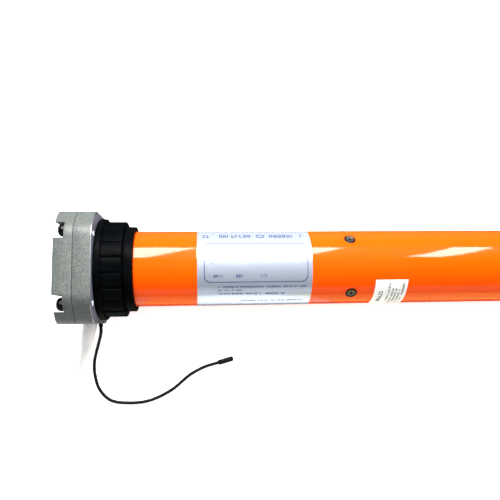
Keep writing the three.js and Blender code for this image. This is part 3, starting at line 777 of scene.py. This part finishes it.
def head_outline():
    """The head's rounded outline as vectors of (y, z) from the motor's axis."""
    flat = HEAD_HALF - HEAD_CHAMFER
    corners = []
    for y, z in ((1, 1), (-1, 1), (-1, -1), (1, -1)):
        pair = [Vector((y * HEAD_HALF, z * flat)), Vector((y * flat, z * HEAD_HALF))]
        corners += pair if y * z > 0 else pair[::-1]
    points = []
    for before, corner, after in zip(corners[-1:] + corners[:-1], corners, corners[1:] + corners[:1]):
        start = corner + (before - corner).normalized() * HEAD_FILLET
        end = corner + (after - corner).normalized() * HEAD_FILLET
        for i in range(9):
            t = i / 8
            points.append(start.lerp(corner, t).lerp(corner.lerp(end, t), t))
    return points


def outline_ring(section):
    """A ring round the head, its section given as (station, how far out of the outline) points."""
    points = head_outline()

    def build(made):
        loops = []
        for station, out in section:
            grow = 1 + out / HEAD_HALF
            loops.append([made.verts.new(at(station, p.x * grow, AXIS_Z + p.y * grow)) for p in points])
        join_loops(made, loops)

    return mesh_of(build)


# The limit adjusters on the head's back, as (y, z) from the axis.
ADJUSTERS = ((17.5, 27.3), (-21.0, 26.2))
SEAM_HALF = 0.4
SEAM_DEPTHS = (-0.1, -0.9)


def make_head_details():
    outer, inner = SEAM_DEPTHS
    sides = (HEAD_JOINT - SEAM_HALF, HEAD_JOINT + SEAM_HALF)
    joint = [(sides[0], outer), (sides[1], outer), (sides[1], inner), (sides[0], inner)]
    new_piece("casting_seam", outline_ring(joint), "head", "cast_aluminium", SEAM_AND_RECESS_SHADE)
    # A painted highlight: a thin bright rim round the back edge of the head, standing for the light that the
    # edge catches.
    edge = [
        (HEAD_BACK - 0.5, 0.03),
        (HEAD_BACK - 0.2, 0.03),
        (HEAD_BACK + 0.02, -0.3),
        (HEAD_BACK + 0.02, -0.7),
        (HEAD_BACK - 0.5, -0.7),
    ]
    new_piece("back_edge", outline_ring(edge), "head", "cast_aluminium", PAINTED_HIGHLIGHT_EDGE)
    # Painted shade: a thin dark skin over the head's back face, standing for the shadow that falls there.
    face = [(HEAD_BACK, -0.6), (HEAD_BACK + 0.05, -0.6), (HEAD_BACK + 0.05, -6), (HEAD_BACK, -6)]
    new_piece("back_face", outline_ring(face), "head", "cast_aluminium", SHADED_FACE)
    socket = [(0.6, HEAD_BACK), (0.6, HEAD_BACK + 0.3), (1.0, HEAD_BACK + 0.5), (1.4, HEAD_BACK + 0.45),
              (1.5, HEAD_BACK + 0.3), (1.5, HEAD_BACK)]
    for i, (y, z) in enumerate(ADJUSTERS, 1):
        place = Matrix.Translation(at(0, y, AXIS_Z + z)) @ Matrix.Rotation(math.pi / 2, 4, "Y")
        new_piece(f"limit_adjuster_{i}", turned(socket, place, 32), "head", "cast_aluminium", ADJUSTER)


SCREWS_AT = 168.6
SCREW_ANGLES = (42, -48, -138, 132)
SCREW_RIM = ((2.3, -0.6), (2.3, 0.1), (2.7, 0.32), (3.1, 0.32), (3.45, 0.1), (3.45, -0.6))
SCREW_DISH = ((0, 0.06), (1.6, 0.08), (2.35, 0.2), (2.35, -0.6), (0, -0.6))
CROSS_ARMS = ((1.75, 0.34), (0.34, 1.75))


def make_tube_screws():
    places = [
        Matrix.Translation(on_tube(SCREWS_AT, angle, TUBE_R)) @ Matrix.Rotation(-math.radians(angle), 4, "X")
        for angle in SCREW_ANGLES
    ]
    for i, place in enumerate(places, 1):
        rim = turned(SCREW_RIM, place, 40)
        new_piece(f"screw_rim_{i}", rim, "head", "black_steel", replaced=[f"tube_screw_{i}"])

    def dishes(made):
        for place in places:
            lathe_into(made, SCREW_DISH, place, 40)

    # The crosses are flat dark marks a little proud of the dishes: painted shade standing in for the screws'
    # cross recesses.
    def crosses(made):
        for place in places:
            for half_x, half_y in CROSS_ARMS:
                size = Matrix.Diagonal((2 * half_x * MM, 2 * half_y * MM, 0.1 * MM, 1))
                lifted = place @ Matrix.Translation((0, 0, 0.08 * MM))
                bmesh.ops.create_cube(made, size=1, matrix=lifted @ size)

    new_piece("screw_faces", mesh_of(dishes), "head", "black_steel", SCREW_FACE)
    new_piece("screw_crosses", mesh_of(crosses), "head", "black_steel", SEAM_AND_RECESS_SHADE)


LABEL_STATIONS = (77.9, 144.5)
LABEL_DEGREES = (-106, 74)
STICKER_STATIONS = (182.4, 201.9)
STICKER_DEGREES = (-118, -25)
LABEL_THICKNESS = 0.12
DEGREES_PER_MM = math.degrees(1 / TUBE_R)


def print_line(rng, station, degrees, length, height, letter, around=False):
    """Patches of unreadable print: cells of random strokes, along the tube or round it towards -Y."""
    weight = letter * 0.26
    wide, tall = letter * 0.72, height / 2
    strokes = []
    u = 0.0
    while u + wide <= length:
        if rng.random() > 0.14:
            strokes.append((u, u + weight, -tall, tall))
            if rng.random() > 0.45:
                strokes.append((u + wide - weight, u + wide, -tall, tall))
            for level in (-tall + weight / 2, 0, tall - weight / 2):
                if rng.random() > 0.5:
                    strokes.append((u, u + wide, level - weight / 2, level + weight / 2))
        u += letter
    turn = DEGREES_PER_MM
    if around:
        return [
            ((station + low, station + high), (degrees - end * turn, degrees - start * turn))
            for start, end, low, high in strokes
        ]
    return [
        ((station + start, station + end), (degrees + low * turn, degrees + high * turn))
        for start, end, low, high in strokes
    ]


def outline(x, degrees, corner_x, corner_d, weight, weight_d):
    """The four sides of a rounded frame, and short steps round its corners."""
    (x0, x1), (low, high) = x, degrees
    bars = [
        ((x0 + corner_x, x1 - corner_x), (low, low + weight_d)),
        ((x0 + corner_x, x1 - corner_x), (high - weight_d, high)),
        ((x0, x0 + weight), (low + corner_d, high - corner_d)),
        ((x1 - weight, x1), (low + corner_d, high - corner_d)),
    ]
    steps = 7
    for i in range(steps):
        angle = math.pi / 2 * (i + 0.5) / steps
        dx = corner_x * (1 - math.cos(angle))
        dd = corner_d * (1 - math.sin(angle))
        for xs in ((x0 + dx, x0 + dx + weight * 1.3), (x1 - dx - weight * 1.3, x1 - dx)):
            bars.append((xs, (low + dd, low + dd + weight_d * 1.6)))
            bars.append((xs, (high - dd - weight_d * 1.6, high - dd)))
    return bars


# Lines of print as (station, degrees, length, height, letter width).
LABEL_DARK = (
    (81.1, 50.5, 29.6, 3.3, 2.4), (120.4, 50.5, 21.9, 3.3, 2.6),
    (85.7, -16.8, 7.3, 1.7, 1.5), (100.2, -16.8, 5.8, 1.7, 1.5), (112.8, -16.8, 8.1, 1.7, 1.5),
    (89.8, -33.6, 52, 1.2, 1.15), (89.8, -39.4, 16.2, 1.2, 1.15), (89.8, -46, 40.7, 1.3, 1.15),
    (103.2, -63, 38, 1.6, 1.3),
)
LABEL_PALE = tuple(
    (station, degrees, length, 1.7, 1.5)
    for degrees in (5.1, 22)
    for station, length in ((85.7, 7.5), (100.2, 6.8), (112.8, 9.5), (128, 5.6))
)
STICKER_LINES = (
    (186.6, -40, 14, 2.4, 2.2), (191.2, -31, 17, 1.2, 1.1), (193.6, -40, 16, 1.2, 1.0),
    (195.6, -40, 16, 1.2, 1.0), (197.6, -40, 16, 1.2, 1.0), (199.6, -31, 19, 1.2, 1.0),
)


def make_labels():
    face = TUBE_R + LABEL_LIFT
    foil = patch_mesh([(LABEL_STATIONS, LABEL_DEGREES)], face, LABEL_THICKNESS)
    new_piece("foil_label", foil, "head", "silver_foil", replaced=["rating_label"])
    sticker = patch_mesh([(STICKER_STATIONS, STICKER_DEGREES)], face, LABEL_THICKNESS)
    new_piece("paper_sticker", sticker, "head", "white_paper", replaced=["service_label"])
    rng = random.Random(7)
    dark = outline((81.7, 141.9), (-26.4, 34.3), 3.2, 7.5, 0.45, 1.1)
    for line in LABEL_DARK:
        dark += print_line(rng, *line)
    dark += outline((112.6, 117.4), (45.5, 55.5), 1.8, 4.0, 0.5, 1.4)
    pale = [patch for line in LABEL_PALE for patch in print_line(rng, *line)]
    columns = [patch for line in STICKER_LINES for patch in print_line(rng, *line, around=True)]
    lift = face + PRINT_LIFT
    new_piece("label_print_dark", patch_mesh(dark, lift), "head", "silver_foil", INK)
    new_piece("label_print_pale", patch_mesh(pale, lift), "head", "silver_foil", PALE_INK)
    new_piece("sticker_print", patch_mesh(columns, lift), "head", "white_paper", BLACK_INK)


def dress_cad_nodes():
    """Rounds the edges of the CAD nodes that show, and gives each one its material."""
    slots = {part["node"]: part["material_slot"] for part in frame["record"]["subparts"]}
    edges = {
        "head_cover_casting": 1.1,
        "head_base_casting": 0.6,
        "crown_adapter": 0.3,
        "crown_ring": 0.25,
        "drive_wheel": 0.4,
        "end_bearing": 0.4,
        "output_shaft": 0.3,
        "drive_clip": 0.2,
        "cable_gland": 0.3,
    }
    for name, node in frame["nodes"].items():
        node.data.materials.clear()
        node.data.materials.append(SLOT_PAINT[slots[name]])
        for polygon in node.data.polygons:
            polygon.material_index = 0
        if name in edges:
            weld = node.modifiers.new("weld", "WELD")
            weld.merge_threshold = 1e-6
            bevelled(node, edges[name])
        smooth(node)


make_camera()
make_antenna()
make_cable()
make_light()
make_floor(floor_white())
make_backdrop(backdrop_white())
dress_cad_nodes()
make_tube()
make_head_details()
make_tube_screws()
make_labels()
